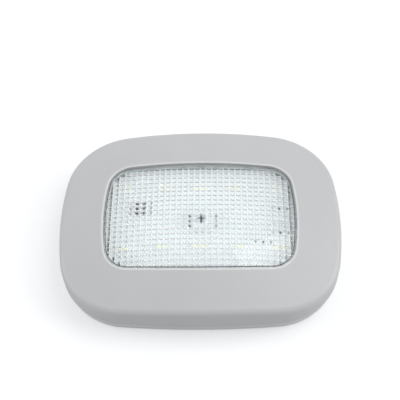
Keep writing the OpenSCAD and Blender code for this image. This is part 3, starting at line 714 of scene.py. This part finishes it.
# The window's round edge: glossier, and painted lighter than the casing as a highlight
CASING_EDGE_HIGHLIGHT = plastic("casing_edge_highlight", (0.6, 0.6, 0.605), roughness=0.25, grain=0.01)
BOARD = plastic("board_white", (0.83, 0.858, 0.864), roughness=0.3, grain=0.03, tint=0.01)
LAMP = plastic("lamp_white", (0.97, 0.965, 0.94), roughness=0.35, grain=0.02)
PHOSPHOR = plastic("lamp_phosphor", (0.96, 0.92, 0.52), roughness=0.25, grain=0.02, tint=0.04)
SWITCH = plastic("switch_black", (0.12, 0.12, 0.122), roughness=0.45)
STEEL = metal("steel", (0.62, 0.62, 0.63))
TIN = metal("tinned_sheet", (0.9, 0.9, 0.89), roughness=0.45, metallic=0.4)
NICKEL = metal("magnet_nickel", (0.63, 0.62, 0.6), roughness=0.18)
FOIL = metal("battery_foil", (0.72, 0.73, 0.75), roughness=0.35, scratch=0.4)
PAD = foam("pad_white", (0.8, 0.8, 0.75))
RED = plastic("lead_red", (0.5, 0.02, 0.015), roughness=0.5)
BLACK = plastic("lead_black", (0.02, 0.02, 0.02), roughness=0.5)


# A face with less than STEEP_NZ of its normal upright is a side, and one with more than FLAT_NZ is flat
STEEP_NZ = 0.4
FLAT_NZ = 0.975
# Radius of the frosted spot round the lens's post
FROST_R = 3 * MM
# The lens's material slots
POLISHED, SIDE, RIM, FROSTED = range(4)


def across(at, pitch):
    """A point's place across its prism: 0 in the groove, 1 at the tip."""
    return 1 - abs(2 * (at / pitch % 1) - 1)


def lens_part(face):
    """Which of the lens's clear plastics a face has."""
    x, y, _ = face.center
    nz = face.normal.z
    if abs(nz) < STEEP_NZ and WINDOW.depth(x, y) < LENS_GAP + SKIRT_T + OVERLAP:
        return SIDE
    if nz > 0:
        # The lens's round edge takes the near-black tint, painted shade
        return POLISHED if nz > FLAT_NZ else RIM
    in_groove = min(across(x, PRISM_PITCH_X), across(y, PRISM_PITCH_Y)) < PRISM_GROOVE
    at_post = math.hypot(x - SWITCH_AT.x, y - SWITCH_AT.y) < FROST_R
    return FROSTED if in_groove or at_post else POLISHED


def dress_lens(lens):
    """Gives each face of the lens its clear plastic."""
    for material in (LENS_SIDE, LENS_RIM_SHADE, LENS_FROST):
        lens.data.materials.append(material)
    for face in lens.data.polygons:
        face.material_index = lens_part(face)


def dress_edge_highlight(bezel):
    """Gives the round edge of the window, and the narrow band beside it, a glossier plastic, painted
    lighter than the casing as a highlight.
    """
    bezel.data.materials.append(CASING_EDGE_HIGHLIGHT)
    for face in bezel.data.polygons:
        x, y, z = face.center
        near_window = -EDGE_BAND - WINDOW_EDGE_R - OVERLAP < WINDOW.depth(x, y) < OVERLAP
        if near_window and z > RIM_Z + MM and face.normal.z > STEEP_NZ:
            face.material_index = 1


# Half the length of the black body between a part's tinned ends or legs
CHIP_BODY_HALF = 1.96 * MM
RESISTOR_BODY_HALF = 0.8 * MM


def paint_nodes():
    """Gives every CAD node its material, also those that a finer piece stands for."""
    materials = {
        "bezel": CASING,
        "back_cover": COVER,
        "lens": LENS,
        "circuit_board": BOARD,
        "charge_chip": leaded("charge_chip", (0.02, 0.02, 0.022), (0.75, 0.75, 0.74), CHIP_BODY_HALF),
        "switch_body": SWITCH,
        "switch_plate": TIN,
        "switch_plunger": SWITCH,
        "switch_dome": STEEL,
        "charge_socket_shell": STEEL,
        "charge_socket_tongue": SWITCH,
        "battery": FOIL,
        "battery_pad": PAD,
        "battery_lead_positive": RED,
        "battery_lead_negative": BLACK,
        "magnet_left": NICKEL,
        "magnet_right": NICKEL,
        "cover_screws": STEEL,
        "board_screws": STEEL,
    }
    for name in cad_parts:
        if name.startswith("led_"):
            materials[name] = LAMP
        elif name.startswith("resistor_"):
            materials[name] = leaded(name, (0.03, 0.03, 0.032), (0.3, 0.3, 0.3), RESISTOR_BODY_HALF)
    for name, material in materials.items():
        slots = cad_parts[name].data.materials
        slots.clear()
        slots.append(material)


# Lamps' phosphor
LAMPS = 10
PHOSPHOR_R = 1.12 * MM
PHOSPHOR_RINGS = 5
WELL_D = 0.15 * MM
PHOSPHOR_EDGE_D = 0.3 * WELL_D
PHOSPHOR_CROWN = 0.03 * MM


def make_phosphor(number):
    """The yellow fill in a lamp's well, a shallow dome just inside the well's wall."""
    x, y, _ = middle(f"led_{number}")
    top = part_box(f"led_{number}")[1].z
    rings = [level(circle(x, y, PHOSPHOR_R, SMALL_ROUND_STEPS), top - WELL_D)]
    for t in reversed(shares(PHOSPHOR_RINGS) + [1.0]):
        z = top - PHOSPHOR_EDGE_D + PHOSPHOR_CROWN * (1 - t**2)
        rings.append(level(circle(x, y, PHOSPHOR_R * t, SMALL_ROUND_STEPS), z))
    return smooth(ring_stack(f"phosphor_{number}", rings), SMALL_CREASE)


# The switch's snap disc
DISC_T = 0.12 * MM
DISC_RINGS = 8


def disc_rings(r, base, h, steps):
    """Rings of a shallow dome with radius r and height h over base, at the given shares of its radius."""
    x, y, _ = middle("switch_dome")
    return [level(circle(x, y, r * t, SMALL_ROUND_STEPS), base + h * (1 - t**2)) for t in steps]


def make_snap_disc():
    """The disc under the switch's plunger, which flattens as the plunger goes in."""
    low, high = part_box("switch_dome")
    r, h = (high.x - low.x) / 2, high.z - low.z
    steps = [(i + 1) / DISC_RINGS for i in range(DISC_RINGS)]
    rings = disc_rings(r - DISC_T, low.z, h - DISC_T, steps) + disc_rings(r, low.z, h, reversed(steps))
    disc = smooth(ring_stack("snap_disc", rings), SMALL_CREASE)
    dress(disc, STEEL, replaces=["switch_dome"])
    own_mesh(disc)


# Stage, light and camera
FLOOR_SIZE = 3.0
FLOOR_GLOW = 0.315
DOME_DIFFUSE = 0.665
DOME_MIRRORED = 0.93
BOUNCES = 32
# Each area light's place, size and power; every one points at the origin
LIGHTS = {
    "right": ((0.9, 0, 0.45), (0.7, 0.6), 4.0),
    "left": ((-0.9, 0, 0.45), (0.7, 0.6), 3.2),
    "back": ((0, 1.0, 0.4), (1.2, 0.5), 1.5),
    "over": ((0.45, 0.2, 0.8), (0.5, 0.6), 1.9),
    "inside": ((0, 0, 13 * MM), (66 * MM, 42 * MM), 0.0002),
}
# The camera's roll in degrees and its focal length in millimetres
CAMERA_AT = Vector((6.799, -171.318, 296.155)) * MM
CAMERA_AIM = Vector((-0.159, 11.68, 9)) * MM
CAMERA_ROLL = -2.254
CAMERA_LENS = 79.556
CAMERA_SENSOR = 36


def make_floor():
    """A matt white table that glows a little for the camera alone."""
    h = FLOOR_SIZE / 2
    floor = new_object("floor", [(-h, -h, 0), (h, -h, 0), (h, h, 0), (-h, h, 0)], [(0, 1, 2, 3)])
    m = Nodes("floor_white")
    m.set(Base_Color=(0.68, 0.684, 0.688, 1), Roughness=0.9)
    m.shader.inputs["Specular IOR Level"].default_value = 0.0
    path = m.node("ShaderNodeLightPath")
    m.shader.inputs["Emission Color"].default_value = (1, 1, 1, 1)
    m.link(m.ramp(path.outputs["Is Camera Ray"], 0.0, FLOOR_GLOW), m.shader, "Emission Strength")
    floor.data.materials.append(m.material)


def make_world():
    """An even dome, brighter where the camera sees it directly, mirrored or through something clear."""
    world = bpy.data.worlds.new("studio")
    bpy.context.scene.world = world
    world.use_nodes = True
    tree = world.node_tree
    path = tree.nodes.new("ShaderNodeLightPath")
    seen = path.outputs["Is Camera Ray"]
    for ray in ("Is Glossy Ray", "Is Transmission Ray"):
        either = tree.nodes.new("ShaderNodeMath")
        either.operation = "MAXIMUM"
        tree.links.new(seen, either.inputs[0])
        tree.links.new(path.outputs[ray], either.inputs[1])
        seen = either.outputs[0]
    strength = tree.nodes.new("ShaderNodeMapRange")
    tree.links.new(seen, strength.inputs["Value"])
    strength.inputs["To Min"].default_value = DOME_DIFFUSE
    strength.inputs["To Max"].default_value = DOME_MIRRORED
    background = tree.nodes["Background"]
    background.inputs["Color"].default_value = (0.97, 0.985, 1, 1)
    tree.links.new(strength.outputs["Result"], background.inputs["Strength"])


def area_light(name, at, size, power):
    data = bpy.data.lights.new(name, "AREA")
    data.shape = "RECTANGLE"
    data.size, data.size_y = size
    data.energy = power
    lamp = bpy.data.objects.new(name, data)
    lamp.location = at
    lamp.rotation_euler = (-Vector(at)).to_track_quat("-Z", "Y").to_euler()
    lamp.visible_transmission = False
    lamp.visible_camera = False
    bpy.context.scene.collection.objects.link(lamp)


def make_camera():
    data = bpy.data.cameras.new("camera")
    data.lens = CAMERA_LENS
    data.sensor_width = CAMERA_SENSOR
    camera = bpy.data.objects.new("camera", data)
    turn = (CAMERA_AIM - CAMERA_AT).to_track_quat("-Z", "Y").to_matrix()
    roll = Matrix.Rotation(math.radians(CAMERA_ROLL), 3, "Z")
    camera.matrix_world = Matrix.Translation(CAMERA_AT) @ (turn @ roll).to_4x4()
    bpy.context.scene.collection.objects.link(camera)
    bpy.context.scene.camera = camera


# The part
dress_edge_highlight(dress(make_bezel(), CASING, replaces=["bezel"]))
dress(make_back_cover(), COVER, replaces=["back_cover"])
dress_lens(dress(make_lens(), LENS, body="lens", replaces=["lens"]))
for lamp_number in range(1, LAMPS + 1):
    dress(make_phosphor(lamp_number), PHOSPHOR)
make_snap_disc()
paint_nodes()

# Its surroundings
make_floor()
make_world()
for light_name, (light_at, light_size, light_power) in LIGHTS.items():
    area_light(light_name, light_at, light_size, light_power)
make_camera()
scene = bpy.context.scene
scene.view_settings.view_transform = "Standard"
scene.cycles.max_bounces = BOUNCES
scene.cycles.transmission_bounces = BOUNCES
scene.cycles.transparent_max_bounces = BOUNCES // 2
